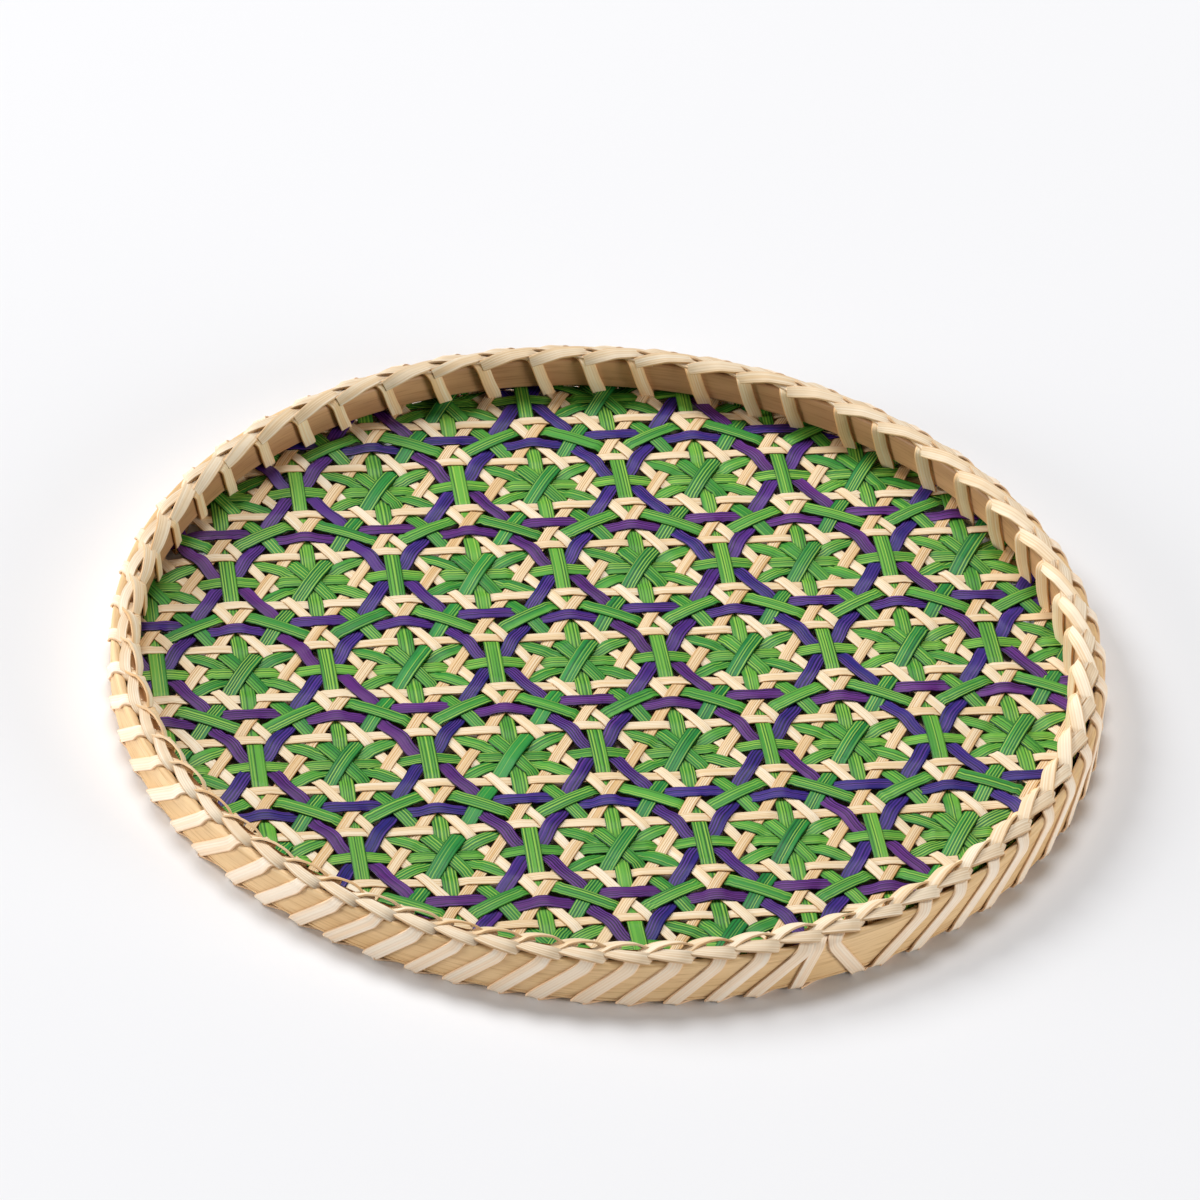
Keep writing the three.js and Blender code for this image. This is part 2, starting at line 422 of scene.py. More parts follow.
# The section of a strip: places across it from -1 to 1, and heights in thicknesses
SECTION_ACROSS = np.array([-1, -0.95, -0.87, 0, 0.87, 0.95, 1, 0.97, 0, -0.97])
SECTION_HEIGHT = np.array([0.1, 0.42, 0.5, 0.55, 0.5, 0.42, 0.1, -0.5, -0.5, -0.5])
SECTION_MAP = np.append((SECTION_ACROSS + 1) / 2, 0)
SECTION_MIDDLE = 3


def unit(degrees):
    angle = math.radians(degrees)
    return np.array([math.cos(angle), math.sin(angle)])


# The weave. Each set of strips has its directions in degrees, and its first row and the step from row to row
# in star spacings.


SETS = {
    "cream": {"directions": (0, 60, 120), "first": STAR_ROW / 4, "step": STAR_ROW / 2},
    "purple": {"directions": (0, 60, 120), "first": STAR_ROW / 2, "step": STAR_ROW},
    "star": {"directions": (0, 60, 120), "first": 0, "step": STAR_ROW},
    "cross": {"directions": (30, 90, 150), "first": 0, "step": 0.5},
}


def in_order(kind, one, other):
    """Two strips of a kind that cross, the lower first: each direction lies over the next one round."""
    one, other = one % 180, other % 180
    return [(kind, other), (kind, one)] if (one + 60) % 180 == other else [(kind, one), (kind, other)]


def crossings():
    """Each place where strips cross, in star spacings, with its strips from the lowest up."""
    reach = range(-MOST_STARS, MOST_STARS + 1)
    for star in (np.array([column + line / 2, line * STAR_ROW]) for column in reach for line in reach):
        yield star, [("cross", 30), ("cross", 150), ("star", 0), ("cross", 90), ("star", 120), ("star", 60)]
        for toward in range(0, 360, 60):
            creams = in_order("cream", toward + 60, toward + 120)
            yield star + unit(toward) * CREAM_OFFSET / STAR_ROW, [("star", toward)] + creams
            rings = in_order("purple", toward + 60, toward + 120)
            yield star + unit(toward) / 2, rings + [("star", toward), ("cross", toward + 90)]
        for toward in range(30, 390, 60):
            yield star + unit(toward) * CREAM_OFFSET, [("cream", toward + 90), ("cross", toward)]
            creams = in_order("cream", toward - 30, toward + 30)
            yield star + unit(toward) * STAR_ROW / 2, [("cross", toward)] + creams + [("purple", toward + 90)]
            yield star + unit(toward) / math.sqrt(3), [("cross", 30), ("cross", 150), ("cross", 90)]
            yield star + unit(toward) * (STAR_ROW - CREAM_OFFSET), [("cross", toward), ("cream", toward + 90)]


def list_strips():
    """Each strip inside the hoop by (kind, direction, row): where it begins and ends, and its stations."""
    strips = {}
    first = 0
    for kind, shape in SETS.items():
        for letter, direction in zip("abc", shape["directions"]):
            for made, row in enumerate(weave_rows(kind, direction, letter), 1):
                begin, end = strip_span(direction, row_offset(kind, row), WIDTHS[kind])
                places = np.arange(begin.min(), end.max() + STATION, STATION)
                stations = first + np.arange(len(places))
                strips[kind, direction, row] = {
                    "letter": letter, "made": made, "places": places, "stations": stations,
                }
                first += len(places)
    return strips


def facing_stations(one, other, meeting, one_way, other_way, one_width, other_width):
    """Pairs of points that face each other where two strips cross. Each station has a point on each of the
    strip's lines, and the points are numbered line by line within station after station."""
    cosine = unit(one_way) @ unit(other_way)
    sine = unit(one_way + 90) @ unit(other_way)
    one_line, other_line = np.meshgrid(np.arange(len(LINES)), np.arange(len(LINES)))
    one_aside = LINES[one_line] * one_width / 2
    other_aside = LINES[other_line] * other_width / 2
    one_step = (one_aside * cosine - other_aside) / sine
    other_step = one_step * cosine + one_aside * sine
    one_index = np.rint((unit(one_way) @ meeting + one_step - one["places"][0]) / STATION).astype(int)
    other_index = np.rint((unit(other_way) @ meeting + other_step - other["places"][0]) / STATION).astype(int)
    inside = (one_index >= 0) & (one_index < len(one["places"]))
    inside &= (other_index >= 0) & (other_index < len(other["places"]))
    one_points = one["stations"][one_index[inside]] * len(LINES) + one_line[inside]
    other_points = other["stations"][other_index[inside]] * len(LINES) + other_line[inside]
    return one_points, other_points


def crossing_stations(strips):
    """All pairs of points (lower, higher) of strips that cross."""
    lower, higher = [], []
    for place, stack in crossings():
        found = []
        for kind, direction in stack:
            direction %= 180
            offset = unit(direction + 90) @ place
            row = round((offset - SETS[kind]["first"]) / SETS[kind]["step"])
            if (kind, direction, row) in strips:
                along = unit(direction) @ place * STAR_SPACING
                bow = ring_bow(along, row, direction) if kind == "purple" else 0
                aside = row_offset(kind, row) + bow
                found.append((strips[kind, direction, row], direction, aside, WIDTHS[kind]))
        for index, (low, low_way, low_aside, low_width) in enumerate(found):
            for high, high_way, high_aside, high_width in found[index + 1:]:
                meeting = np.linalg.solve([unit(low_way + 90), unit(high_way + 90)], [low_aside, high_aside])
                pairs = facing_stations(low, high, meeting, low_way, high_way, low_width, high_width)
                lower.append(pairs[0])
                higher.append(pairs[1])
    return np.concatenate(lower), np.concatenate(higher)


def settle_heights(strips):
    """The strips' heights at their stations, in the middle and from the middle to an edge: each strip pulls
    straight while those that cross it hold it up or down by their thickness, and it may twist but not bend
    across its width."""
    lower, higher = crossing_stations(strips)
    count = sum(len(strip["places"]) for strip in strips.values())
    starts = np.concatenate([np.full(len(s["stations"]), s["stations"][0]) for s in strips.values()])
    ends = np.concatenate([np.full(len(s["stations"]), s["stations"][-1]) for s in strips.values()])
    near = [np.clip(np.arange(count) + step, starts, ends) for step in (-3, -2, -1, 1, 2, 3)]
    middle = np.full(count, (WEAVE_BOTTOM + WEAVE_TOP) / 2)
    tilt = np.zeros(count)
    for _ in range(SETTLING_ROUNDS):
        middle += PULL * (np.mean([middle[index] for index in near], 0) - middle)
        tilt += PULL * (np.mean([tilt[index] for index in near], 0) - tilt)
        for _ in range(PUSHES_PER_ROUND):
            height = (middle[:, None] + tilt[:, None] * LINES).ravel()
            short = np.maximum(STRIP_GAP - height[higher] + height[lower], 0)
            pushed = np.bincount(higher, short, height.size) - np.bincount(lower, short, height.size)
            active = np.bincount(higher, short > 0, height.size) + np.bincount(lower, short > 0, height.size)
            push = (PUSH * pushed / np.maximum(active, 1)).reshape(count, len(LINES))
            middle += push.sum(1) / np.maximum((push != 0).sum(1), 1)
            tilt += push @ LINES / (LINES @ LINES)
        middle = np.clip(middle, WEAVE_BOTTOM + STRIP_THICKNESS / 2, WEAVE_TOP + STRIP_THICKNESS / 2)
    return middle, tilt


def strip_span(direction, offset, width):
    """Where a strip begins and ends under the inner hoop, for each place across its section."""
    turn = WEAVE_TURN + math.radians(direction)
    turned = np.array([[math.cos(turn), math.sin(turn)], [-math.sin(turn), math.cos(turn)]])
    centre = turned @ -WEAVE_CENTRE
    distance = offset - centre[1] + SECTION_ACROSS * width / 2
    half = np.sqrt(np.maximum(INNER_HOOP_OUT ** 2 - distance ** 2, 0))
    return centre[0] - half, centre[0] + half


def row_offset(kind, row):
    """A row's distance from the weave's centre line. The cream rows stand in pairs, apart from the stars."""
    spread = (CREAM_SPREAD if row % 2 == 0 else -CREAM_SPREAD) if kind == "cream" else 0
    return (SETS[kind]["first"] + row * SETS[kind]["step"] + spread) * STAR_SPACING


def ring_bow(along, row, direction):
    """How far a ring strip lies to the side of its straight line. Those of one direction are straighter."""
    phase = 2 * math.pi * along / STAR_SPACING + row * math.pi
    part = STRAIGHTER if direction == 60 else 1
    return STAR_SPACING * part * (RING_BOW * np.cos(3 * phase) - RING_PULL * np.cos(phase))


def strip_length(kind, direction, row):
    begin, end = strip_span(direction, row_offset(kind, row), WIDTHS[kind])
    return (end - begin).min()


def weave_rows(kind, direction, letter):
    """The rows of a set of strips that lie inside the hoop: for the cream ones, as many as the frame has."""
    reach = range(-MOST_ROWS, MOST_ROWS + 1)
    rows = [row for row in reach if strip_length(kind, direction, row) > SHORTEST_STRIP]
    if kind == "cream":
        count = sum(name.startswith(f"cream_strip_{letter}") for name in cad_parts)
        rows.sort(key=lambda row: -strip_length(kind, direction, row))
        rows = sorted(rows[:count])
    return rows


def weave_strip(kind, direction, row, places, middle, tilt, number):
    """One strip of the weave as a grid, with its heights at places along it."""
    offset = row_offset(kind, row)
    width = WIDTHS[kind] * chance.uniform(0.94, 1.05)
    begin, end = strip_span(direction, offset, width)
    steps = int((end - begin).max() / STATION)
    along = begin + np.linspace(0, 1, steps)[:, None] * (end - begin)
    bow = chance.normal(0, 0.2) + 0.25 * np.sin(along / chance.uniform(14, 25) + chance.uniform(0, 6))
    if kind == "purple":
        bow += ring_bow(along, row, direction)
    height = np.interp(along, places, middle) + np.interp(along, places, tilt) * SECTION_ACROSS
    height += SECTION_HEIGHT * STRIP_THICKNESS
    aside = offset + bow + SECTION_ACROSS * width / 2
    flat = along[:, :, None] * unit(direction) + aside[:, :, None] * unit(direction + 90)
    cosine, sine = unit(math.degrees(WEAVE_TURN))
    turn = np.array([[cosine, sine], [-sine, cosine]])
    points = np.concatenate([flat @ turn + WEAVE_CENTRE, height[:, :, None]], 2)
    return make_grid(points, along[:, SECTION_MIDDLE] + WEAVE_SHIFT * number, SECTION_MAP)


def make_weave(materials):
    strips = list_strips()
    middle, tilt = settle_heights(strips)
    for number, ((kind, direction, row), strip) in enumerate(strips.items()):
        own = strip["stations"]
        grid = weave_strip(kind, direction, row, strip["places"], middle[own], tilt[own], number)
        name, slot, node = strip_names(kind, strip["letter"], strip["made"])
        tone = "abc"[chance.integers(3)] if kind == "purple" else strip["letter"]
        make_piece(name, [grid], materials[kind, tone], slot, node)


def strip_names(kind, letter, made):
    """A strip's name, its material slot and the CAD node that it stands for."""
    if kind == "cream":
        return f"cane_cream_{letter}{made}", "cream_cane", f"cream_strip_{letter}{made}"
    if kind == "purple":
        return f"cane_purple_{letter}{made}", "purple_cane", "purple_ring_strips"
    node = "green_star_strips" if kind == "star" else "green_cross_strips"
    return f"cane_green_{kind}_{letter}{made}", "green_cane", node


# The rim. The angle round it is 0 at the right, 90 degrees at the back, 180 at the left and 270 at the front.


def around(angle):
    """Unit vectors outwards and along the rim at angles, as rows of three."""
    zero = np.zeros_like(angle)
    outward = np.stack([np.cos(angle), np.sin(angle), zero], -1)
    sideways = np.stack([-np.sin(angle), np.cos(angle), zero], -1)
    return outward, sideways


def slow_waves(angle, size, count=4):
    """A smooth unevenness round the rim."""
    total = np.zeros_like(angle)
    for wave in range(2, 2 + count):
        total += chance.normal(0, size / count) * np.sin(wave * angle + chance.uniform(0, 6))
    return total


def hoop_grid(inside, outside, bottom, top, rounding=1.1, groove=0.0):
    """A bent flat band with rounded edges and a little unevenness. It may have a groove along its outside,
    above the lower edge."""
    corner = np.linspace(0, math.pi / 2, 4)
    corners = ((outside, top, 0), (inside, top, 1), (inside, bottom, 2), (outside, bottom, 3))
    section = []
    for radius, height, begin in corners:
        for angle in corner + begin * math.pi / 2:
            across = radius + rounding * (math.cos(angle) - (1 if begin in (0, 3) else -1))
            up = height + rounding * (math.sin(angle) - (1 if begin in (0, 1) else -1))
            section.append((across, up))
    for height, depth in zip(GROOVE_HEIGHTS, (0, groove, 0)):
        section.append((outside - depth, bottom + height))
    section = np.array(section)
    turn = np.linspace(0, 2 * math.pi, HOOP_STEPS + 1)
    angle = turn[:-1]
    outward, _ = around(angle)
    radius = section[None, :, 0] + slow_waves(angle, HOOP_UNEVENNESS)[:, None]
    height = np.broadcast_to(section[None, :, 1], radius.shape)
    points = outward[:, None, :] * radius[:, :, None]
    points[:, :, 2] = height
    ring = np.linalg.norm(np.diff(np.concatenate([section, section[:1]]), axis=0), axis=1)
    across = np.concatenate([[0], np.cumsum(ring)]) / ring.sum()
    return make_grid(points, turn * outside, across, closed=True)


def make_hoops(material, shade):
    outer = hoop_grid(HOOP_IN, HOOP_OUT, HOOP_BOTTOM, HOOP_TOP, groove=GROOVE_DEPTH)
    make_piece("hoop_outer", [outer], material, "hoop_bamboo", "outer_hoop")
    # The inner hoop takes a darker copy of the bamboo: painted shade on its inner face.
    inner = hoop_grid(INNER_HOOP_IN, INNER_HOOP_OUT, INNER_HOOP_BOTTOM, HOOP_TOP)
    make_piece("hoop_inner", [inner], shade, "hoop_bamboo", "inner_hoop")


def flat_strip(path, normal, width, thickness, along_from=0.0):
    """A flat strip along a path, facing the normals given, as a grid."""
    tangent = np.gradient(path, axis=0)
    tangent /= np.linalg.norm(tangent, axis=1)[:, None]
    across = np.cross(normal, tangent)
    across /= np.linalg.norm(across, axis=1)[:, None]
    facing = np.cross(tangent, across)
    aside = SECTION_ACROSS[None, :, None] * (width / 2)[:, None, None]
    points = path[:, None, :] + aside * across[:, None, :]
    points = points + SECTION_HEIGHT[None, :, None] * thickness * facing[:, None, :]
    along = np.concatenate([[0], np.cumsum(np.linalg.norm(np.diff(path, axis=0), axis=1))])
    return make_grid(points, along + along_from, SECTION_MAP)


def rim_angle(turn):
    """The angle round the rim of a turn of the lashing, or of a part of a turn. Two waves round the rim set
    how close together the turns are."""
    even = np.linspace(-0.5, 1.5, 721) * 2 * math.pi
    from_front = even - math.radians(CLOSEST_AT)
    warped = even + CLOSER * np.sin(from_front) + CLOSER / 5 * np.sin(2 * from_front)
    return np.interp(turn, warped * TURNS / (2 * math.pi) + FIRST_TURN, even)


def rounded_curve(knots, spacing=0.7, rounds=4):
    """Rows of values along straight runs between knots, with the corners rounded off. The first three values
    are a place in space, and the rest go along with it."""
    lengths = np.linalg.norm(np.diff(knots[:, :3], axis=0), axis=1)
    place = np.concatenate([[0], np.cumsum(lengths)])
    even = np.linspace(0, place[-1], int(place[-1] / spacing) + 2)
    curve = np.stack([np.interp(even, place, column) for column in knots.T], 1)
    for _ in range(rounds):
        curve[1:-1] = (curve[:-2] + 2 * curve[1:-1] + curve[2:]) / 4
    return curve


def wound_strip(places, number, start_taper=0.0, end_taper=0.0, full_width=LASHING_WIDTH):
    """A flat strip along the rim. Each place is (turns, radius, height, the way that it faces: degrees up
    from outwards, and degrees sideways). Its number sets where along the streaks it begins. The tapers narrow
    its ends by these parts of the width. It lies flat on what the tray stands on."""
    turns, radius, height, facing, aside = np.array(places, float).T
    outward, sideways = around(rim_angle(turns))
    facing, aside = np.radians(facing)[:, None], np.radians(aside)[:, None]
    normal = (outward * np.cos(facing) + np.array([0, 0, 1]) * np.sin(facing)) * np.cos(aside)
    normal += sideways * np.sin(aside)
    path = outward * radius[:, None]
    path[:, 2] = height
    curve = rounded_curve(np.concatenate([path, normal], 1))
    part = np.linspace(0, 1, len(curve))
    narrowed = start_taper * np.clip(1 - part / TAPER_LENGTH, 0, 1) ** 2
    narrowed += end_taper * np.clip(1 - (1 - part) / TAPER_LENGTH, 0, 1) ** 2
    width = full_width * (1 - narrowed) * chance.uniform(0.94, 1.08)
    grid = flat_strip(curve[:, :3], curve[:, 3:], width, LASHING_THICKNESS, LASHING_SHIFT * number)
    grid["points"][:, 2] = np.maximum(grid["points"][:, 2], 0)
    return grid


def around_from(turn, degrees):
    """1 where a turn lies at this angle round the rim, falling to 0 opposite."""
    return (1 + math.cos(rim_angle(turn) - math.radians(degrees))) / 2


def wrap_places(turn):
    """One turn of the lashing in two runs. The outer one goes from under the plait over the outer hoop, down
    the outside and below the rim. The inner one goes on up through the weave, up the inside and back under
    the plait. Where a new length begins it leans the other way, away from the top of the turn before it."""
    outside = HOOP_OUT + STAND_OFF
    inside = INNER_HOOP_IN - STAND_OFF
    lean = 0.95 + 0.2 * around_from(turn, 305) + chance.normal(0, 0.05)
    advance = 1 - 0.4 * outer_part(turn)
    top = turn + TURN_TOP
    if turn == SPLICED_TURN - 1:
        lean = 0.45
        top = turn + 0.1
    if turn == SPLICED_TURN:
        lean = -0.7
        top = turn - 0.5
    start = top - lean
    inner = turn + 1.05 + chance.normal(0, 0.05)
    under = ((start + inner) / 2, BETWEEN_HOOPS, 0.5, -90, 0)
    twist = around_from(turn, 25) ** 2
    slant = -38 * twist
    away = 0.3 + 1.2 * twist
    outer_run = [
        (top + 0.42 * advance, HOOP_OUT - 4.4, HOOP_TOP + 0.6, 90, 0),
        (top + 0.2 * advance, HOOP_OUT - 2.2, HOOP_TOP + 0.75, 85, 0),
        (top + 0.07 * advance, outside - 1.0, HOOP_TOP + 0.6, 60, 0),
        (top, outside - 0.1, HOOP_TOP - 0.9, 25, 0),
        (top - 0.12 * lean, outside, HOOP_TOP - 2.6, 3, 0),
        (start + 0.1 * lean, outside, 2.2, 0, 0),
        (start, outside - 0.1, 0.9, -30, 0),
        (start, outside - 1.2, 0.5, -90, 0),
        under,
    ]
    inner_run = [
        under,
        (inner - 0.1, inside + 1.2, 0.5, -90, 0),
        (inner, inside, 1.5, -180, 0),
        (inner + 0.02, inside - 0.8 * twist, 4.0, -180, 0.7 * slant),
        (inner + 0.15, inside - away, HOOP_BOTTOM + 8, -180, slant),
        (inner + 0.3, inside - away, HOOP_TOP + 0.4, -190, slant),
        (inner + 0.36, inside + 1.0, HOOP_TOP + 1.2, -260, 0),
        (inner + 0.42, inside + 2.6, HOOP_TOP + 1.0, -270, 0),
    ]
    return outer_run, inner_run


def outer_part(turn):
    """1 along the left and the front, where the plait lies on the outer hoop, and 0 opposite."""
    return min(1.35 * around_from(turn, 225) ** 2, 1)


def left_part(turn):
    """1 at the left, falling to little at the front and the back."""
    return around_from(turn, 180) ** 4


def between(part, tight, loose):
    """Places part of the way from one list of places to another."""
    return (1 - part) * np.array(tight, float) + part * np.array(loose, float)


def first_strand_places(turn):
    """A strand of the plait that follows the lashing inwards: under the other set's strand on the outer side,
    over the next one on the inner side, and down to the inner edge. Along the left it stands on edge."""
    inside = INNER_HOOP_IN
    on_edge = 0.75 * around_from(turn, 195) ** 3
    top = turn + TURN_TOP + chance.normal(0, 0.03)
    rise = chance.normal(0, 0.15)
    bow = chance.uniform(-0.2, 0.6)
    tight = [
        (top + 0.1, HOOP_OUT - 2.6, HOOP_TOP + 0.9, 90, 0),
        (top + 0.4, inside + 4.0, HOOP_TOP + 1.1, 92, 0),
        (top + 0.7, inside + 2.2, HOOP_TOP + 2.3 + rise, 98, 0),
        (top + 1.05, inside + 0.2, HOOP_TOP + 3.1 + rise, 108, 0),
        (top + 1.35, inside - 1.0, HOOP_TOP + 2.3 + rise, 128, 0),
        (top + 1.62, inside - 1.3, HOOP_TOP + 0.8, 150, 0),
    ]
    loose = [
        (top + 0.1, inside + 5.0, HOOP_TOP + 0.8, 90, 0),
        (top + 0.28, inside + 3.2, HOOP_TOP + 1.1, 95 + 25 * on_edge, 0),
        (top + 0.52, inside + 1.3 - bow, HOOP_TOP + 1.8 + rise, 100 + 42 * on_edge, 0),
        (top + 0.85, inside + 0.4 - bow, HOOP_TOP + 2.2 + rise, 108 + 48 * on_edge, 0),
        (top + 1.2, inside + 0.3 - bow, HOOP_TOP + 2.0 + rise, 118 + 42 * on_edge, 0),
        (top + 1.45, inside + 1.0, HOOP_TOP + 0.6, 135 + 30 * on_edge, 0),
    ]
    return between(outer_part(turn), tight, loose)


def second_strand_places(turn):
    """A strand of the plait the other way: from under the first set on the inner side, over it on the outer
    side, with its end tucked down between the hoops."""
    inside = INNER_HOOP_IN
    gap = BETWEEN_HOOPS
    middle = turn + 0.85 + chance.normal(0, 0.04)
    rise = chance.normal(0, 0.12)
    tight = [
        (middle - 0.75, inside - 0.2, HOOP_TOP + 1.0, 120, 0),
        (middle - 0.45, inside + 0.8, HOOP_TOP + 1.5, 100, 0),
        (middle - 0.1, inside + 2.2, HOOP_TOP + 2.2 + rise, 92, 0),
        (middle + 0.25, inside + 3.8, HOOP_TOP + 2.4 + rise, 82, 0),
        (middle + 0.5, gap + 0.6, HOOP_TOP + 1.7, 50, 0),
        (middle + 0.6, gap + 0.7, HOOP_TOP - 0.4, 10, 0),
    ]
    further_in = 1.8 * left_part(turn)
    loose = [
        (middle - 0.85, inside + 2.8 - 0.5 * further_in, HOOP_TOP + 0.5, 100, 0),
        (middle - 0.55, inside + 4.6 - further_in, HOOP_TOP + 1.5, 90, 0),
        (middle - 0.2, inside + 6.0 - further_in, HOOP_TOP + 1.9 + rise, 80, 0),
        (middle + 0.15, inside + 6.6 - further_in, HOOP_TOP + 1.7 + rise, 68, 0),
        (middle + 0.38, inside + 6.2 - further_in, HOOP_TOP + 0.7, 50, 0),
        (middle + 0.48, gap + 0.4 - 0.5 * further_in, HOOP_TOP - 0.6, 20, 0),
    ]
    return between(outer_part(turn), tight, loose)


def make_lashing(outer_material, shaded_inner_material):
    outer_runs, inner_runs = zip(*(wrap_places(turn) for turn in range(TURNS)))
    outer = [wound_strip(places, turn) for turn, places in enumerate(outer_runs)]
    make_piece("lashing_outside", outer, outer_material, "lashing_cane", "rim_lashing")
    # The inner runs take a darker, warmer copy of the peel: painted shade where the plait shades them.
    inner = [wound_strip(places, number) for number, places in enumerate(inner_runs, INNER_RUNS_FROM)]
    make_piece("lashing_inside", inner, shaded_inner_material, "lashing_cane", "rim_lashing")


def make_plait(first_material, second_material):
    first = []
    for turn in range(TURNS):
        places = first_strand_places(turn)
        first.append(wound_strip(places, turn + FIRST_STRANDS_FROM, start_taper=0.6, end_taper=0.2))
    make_piece("plait_first_strands", first, first_material, "lashing_cane", "rim_plait")
    second = []
    for turn in range(TURNS):
        places = second_strand_places(turn)
        width = LASHING_WIDTH * (1 - 0.2 * left_part(turn))
        second.append(wound_strip(places, turn + SECOND_STRANDS_FROM, 0.3, 0.3, width))
    make_piece("plait_second_strands", second, second_material, "lashing_cane", "rim_plait")


def turned_end(kind, angle, top):
    """One strip's end, turned up between the hoops."""
    layer = {"cream": 0.5, "star": 0.9, "cross": 0.9, "purple": 1.3}[kind]
    steps = 4
    outward, _ = around(np.full(steps, angle))
    path = outward * (INNER_HOOP_OUT + layer)
    path[:, 2] = np.linspace(WEAVE_BOTTOM + TURNED_END_THICKNESS, top, steps)
    width = np.full(steps, WIDTHS[kind])
    return flat_strip(path, outward, width, TURNED_END_THICKNESS, TURNED_END_SHIFT * angle)


def make_turned_ends(materials):
    """The ends of all strips between the hoops, trimmed near the hoops' top."""
    ends = {"cream": [], "purple": [], "green": []}
    for kind, shape in SETS.items():
        for letter, direction in zip("abc", shape["directions"]):
            for row in weave_rows(kind, direction, letter):
                offset = row_offset(kind, row)
                begin, end = strip_span(direction, offset, WIDTHS[kind])
                for along in (begin[SECTION_MIDDLE], end[SECTION_MIDDLE]):
                    flat = along * unit(direction) + offset * unit(direction + 90)
                    turn = math.atan2(flat[1], flat[0]) + WEAVE_TURN
                    place = np.hypot(*flat) * np.array([math.cos(turn), math.sin(turn)]) + WEAVE_CENTRE
                    angle = math.atan2(place[1], place[0])
                    grid = turned_end(kind, angle, HOOP_TOP + chance.uniform(-1.8, 0.2))
                    ends["green" if kind in ("star", "cross") else kind].append(grid)
    for colour, grids in ends.items():
        make_piece(f"turned_ends_{colour}", grids, materials[colour], f"{colour}_cane", "turned_up_edge")


def make_backing(material):
    """A flat round sheet, as a ring whose hole is too small to see."""
    hole = 0.01
    section = np.array([
        (hole, BACKING_TOP),
        (BACKING_RADIUS, BACKING_TOP),
        (BACKING_RADIUS, BACKING_BOTTOM),
        (hole, BACKING_BOTTOM),
    ])
    part = np.linspace(0, 1, BACKING_STEPS + 1)
    angle = np.linspace(0, 2 * math.pi, BACKING_STEPS + 1)[:-1]
    outward, _ = around(angle)
    points = outward[:, None, :] * section[None, :, :1]
    points[:, :, 2] = section[None, :, 1]
    across = np.array([0, 0.5, 0.5, 1, 1])
    grid = make_grid(points, part * BACKING_RADIUS, across, closed=True)
    make_piece("backing", [grid], material, "backing", "backing_sheet")


# The stage


def make_camera():
    back = np.array([0, -math.cos(CAMERA_ELEVATION), math.sin(CAMERA_ELEVATION)])
    level_up = np.array([0, math.sin(CAMERA_ELEVATION), math.cos(CAMERA_ELEVATION)])
    level_right = np.array([1, 0, 0])
    right = math.cos(CAMERA_ROLL) * level_right - math.sin(CAMERA_ROLL) * level_up
    up = math.sin(CAMERA_ROLL) * level_right + math.cos(CAMERA_ROLL) * level_up
    place = back * CAMERA_DISTANCE
    aim = right * CAMERA_AIM_RIGHT + up * CAMERA_AIM_UP
    towards_back = Vector(place - aim).normalized()
    across = Vector(up).cross(towards_back).normalized()
    upright = towards_back.cross(across)
    turn = Matrix((across, upright, towards_back)).transposed()
    data = bpy.data.cameras.new("camera")
    data.lens = CAMERA_LENS
    data.sensor_width = 36
    data.clip_start = 0.01
    data.clip_end = 100
    camera = bpy.data.objects.new("camera", data)
    camera.matrix_world = Matrix.Translation(Vector(place * MM)) @ turn.to_4x4()
    bpy.context.scene.collection.objects.link(camera)
    bpy.context.scene.camera = camera


def make_floor():
    mesh = bpy.data.meshes.new("floor")
    low, high = -FLOOR_HALF, FLOOR_HALF
    corners = [(low, low, 0), (high, low, 0), (high, high, 0), (low, high, 0)]
    mesh.from_pydata(corners, [], [(0, 1, 2, 3)])
    floor = bpy.data.objects.new("floor", mesh)
    material, _ = start_material("floor_pale", 0.9, srgb(240, 240, 242))
    mesh.materials.append(material)
    bpy.context.scene.collection.objects.link(floor)


def add_lamp(name, place, size, watts):
    data = bpy.data.lights.new(name, "AREA")
    data.shape = "DISK"
    data.size = size
    data.energy = watts
    lamp = bpy.data.objects.new(name, data)
    lamp.location = place
    lamp.rotation_mode = "QUATERNION"
    lamp.rotation_quaternion = (-Vector(place)).to_track_quat("-Z", "Y")
    bpy.context.scene.collection.objects.link(lamp)


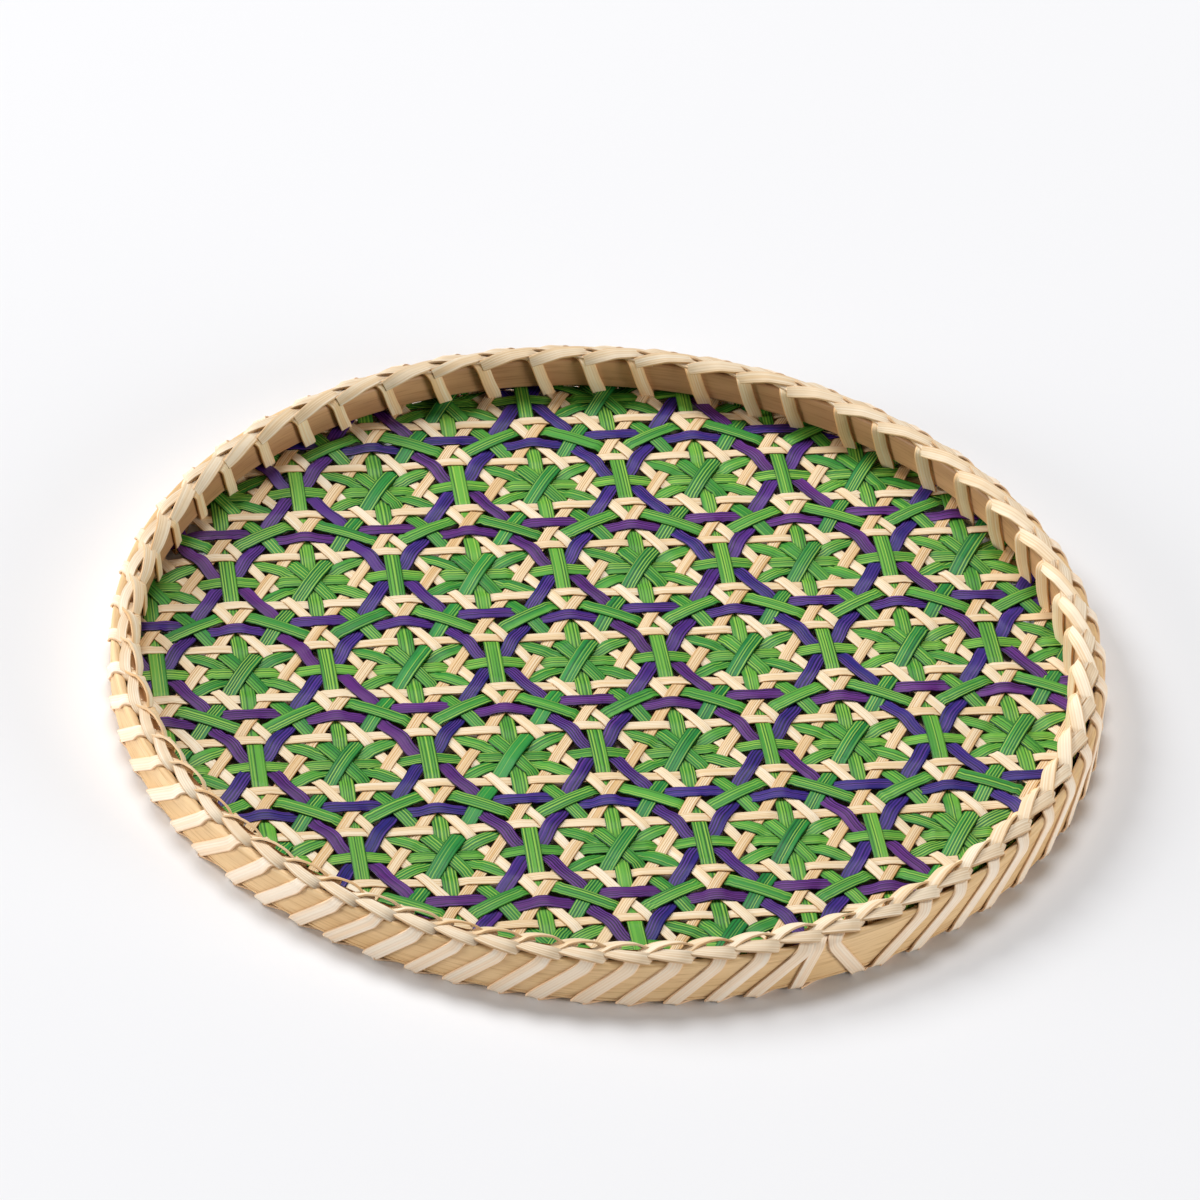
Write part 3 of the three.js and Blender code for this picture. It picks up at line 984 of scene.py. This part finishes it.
def make_light():
    world = bpy.data.worlds.new("studio")
    world.use_nodes = True
    world.node_tree.nodes["Background"].inputs["Color"].default_value = (1, 1, 1, 1)
    world.node_tree.nodes["Background"].inputs["Strength"].default_value = 0.07
    bpy.context.scene.world = world
    add_lamp("high_at_the_back", (-0.54, 4.4, 8.3), 3.7, 475)
    add_lamp("at_the_back_left", (-5.64, 3.95, 4.82), 3.2, 405)
    add_lamp("low_at_the_left", (-4.78, -1.02, 1.04), 2.4, 146)
    add_lamp("low_at_the_right", (4.53, -1.83, 1.04), 2.4, 126)


def main():
    cream = {
        "a": cane_material("cane_cream_a", (250, 230, 196), (242, 212, 166), (214, 172, 112), 0.6),
        "b": cane_material("cane_cream_b", (247, 220, 178), (232, 192, 136), (196, 148, 88), 0.75),
        "c": cane_material("cane_cream_c", (254, 238, 210), (248, 222, 180), (226, 190, 136), 0.5),
    }
    star = {
        "a": green_material("green_star_a", (srgb(68, 150, 48), srgb(108, 180, 60))),
        "b": green_material("green_star_b", (srgb(20, 126, 58), srgb(46, 150, 62))),
        "c": green_material("green_star_c", (srgb(44, 140, 50), srgb(86, 168, 58))),
    }
    purple = {
        "a": purple_material("purple_a", (srgb(78, 26, 108), srgb(98, 36, 122))),
        "b": purple_material("purple_b", (srgb(36, 28, 118), srgb(54, 34, 126))),
        "c": purple_material("purple_c", (srgb(54, 28, 118), srgb(80, 36, 126))),
    }
    materials = {}
    for letter in "abc":
        materials["cream", letter] = cream[letter]
        materials["purple", letter] = purple[letter]
        materials["star", letter] = star[letter]
        materials["cross", letter] = star[{"a": "c", "b": "a", "c": "c"}[letter]]
    make_weave(materials)
    make_backing(backing_material())
    make_hoops(
        hoop_material("bamboo", srgb(242, 206, 154), srgb(226, 186, 130)),
        # A darker copy of the bamboo, as painted shade for the inner hoop
        hoop_material("bamboo_painted_shade", srgb(218, 170, 122), srgb(184, 138, 95)),
    )
    make_turned_ends({"cream": cream["b"], "purple": purple["b"], "green": star["c"]})
    make_lashing(
        peel_material("peel_outside", (255, 237, 214), (253, 226, 194)),
        # The outside peel made darker and warmer: painted shade for the inner runs
        peel_material("peel_inside_painted_shade", (255, 230, 188), (247, 209, 158)),
    )
    make_plait(
        peel_material("peel_plait_first", (250, 231, 202), (240, 209, 166)),
        peel_material("peel_plait_second", (239, 220, 192), (231, 204, 168)),
    )
    make_camera()
    make_floor()
    make_light()
    bpy.context.scene.view_settings.view_transform = "Standard"


main()
